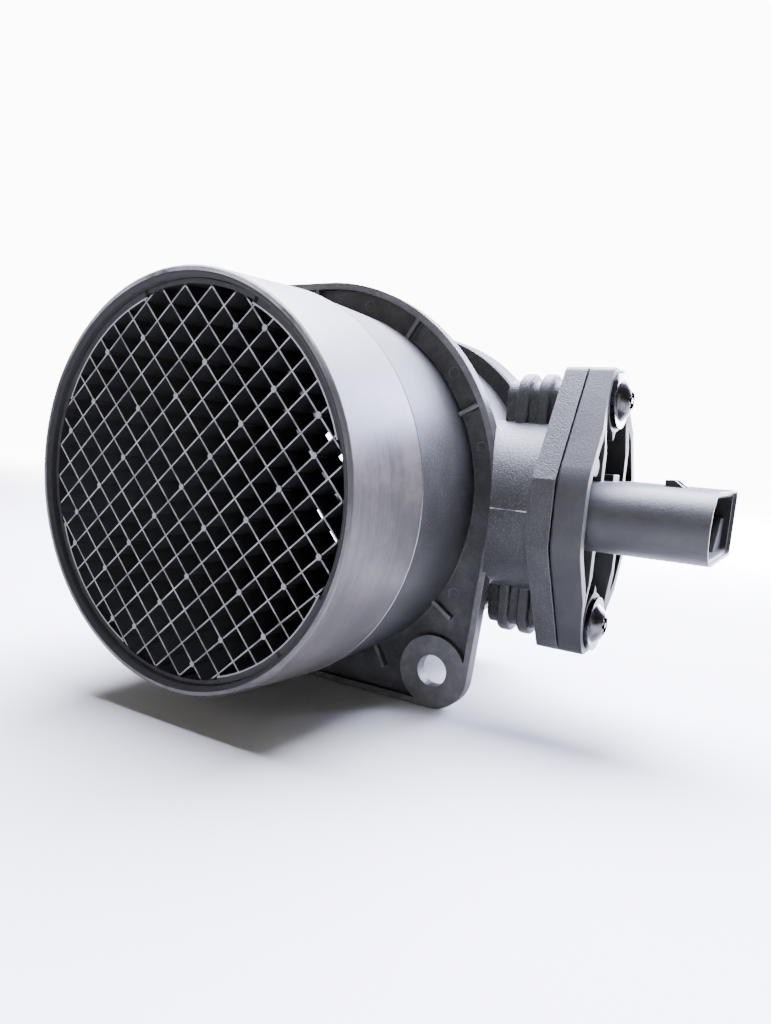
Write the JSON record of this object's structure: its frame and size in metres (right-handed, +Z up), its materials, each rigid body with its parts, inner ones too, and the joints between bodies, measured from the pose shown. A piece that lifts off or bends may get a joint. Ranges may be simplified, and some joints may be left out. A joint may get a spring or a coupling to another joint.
{
  "type": "mass airflow sensor",
  "caption": "Plug-in mass airflow sensor in a round moulded air duct, with a protective inlet grid, a two-eared mounting flange and a side-facing wiring socket.",
  "frame": {"origin": "on the duct's axis, in the plane of the flange's front contact face", "axes": "+Y along the air's flow from grid to outlet, +X towards the sensor and its wiring socket, +Z up"},
  "size_m": [0.1421, 0.0996, 0.0982],
  "materials": {
    "housing_plastic": "fine eroded mould texture, satin on the inlet cylinder",
    "grid_plastic": "satin with pale worn edges",
    "sensor_plastic": "satin",
    "lid_plastic": "satin",
    "base_metal": "rolled sheet",
    "board_laminate": "solder mask",
    "chip_plastic": "moulded",
    "capacitor_body": "ceramic body",
    "element_glass": "polished film",
    "seal_rubber": "smooth",
    "pin_metal": "tinned",
    "bead_glass": "glazed bead",
    "lead_metal": "bright wire",
    "screw_steel": "dark bright plating"
  },
  "bodies": {
    "root": {"housing": "housing_plastic", "inlet_grid": "grid_plastic", "sensor_body": "sensor_plastic", "electronics_cover": "lid_plastic", "bypass_cover": "lid_plastic", "base_plate": "base_metal", "circuit_board": "board_laminate", "signal_chip": "chip_plastic", "capacitor_1": "capacitor_body", "capacitor_2": "capacitor_body", "capacitor_3": "capacitor_body", "element_carrier": "board_laminate", "sensing_element": "element_glass", "o_ring": "seal_rubber", "connector_pin_1": "pin_metal", "connector_pin_2": "pin_metal", "connector_pin_3": "pin_metal", "connector_pin_4": "pin_metal", "connector_pin_5": "pin_metal", "thermistor_bead": "bead_glass", "thermistor_lead_1": "lead_metal", "thermistor_lead_2": "lead_metal", "screw_upper": "screw_steel", "screw_lower": "screw_steel"}
  },
  "joints": []
}
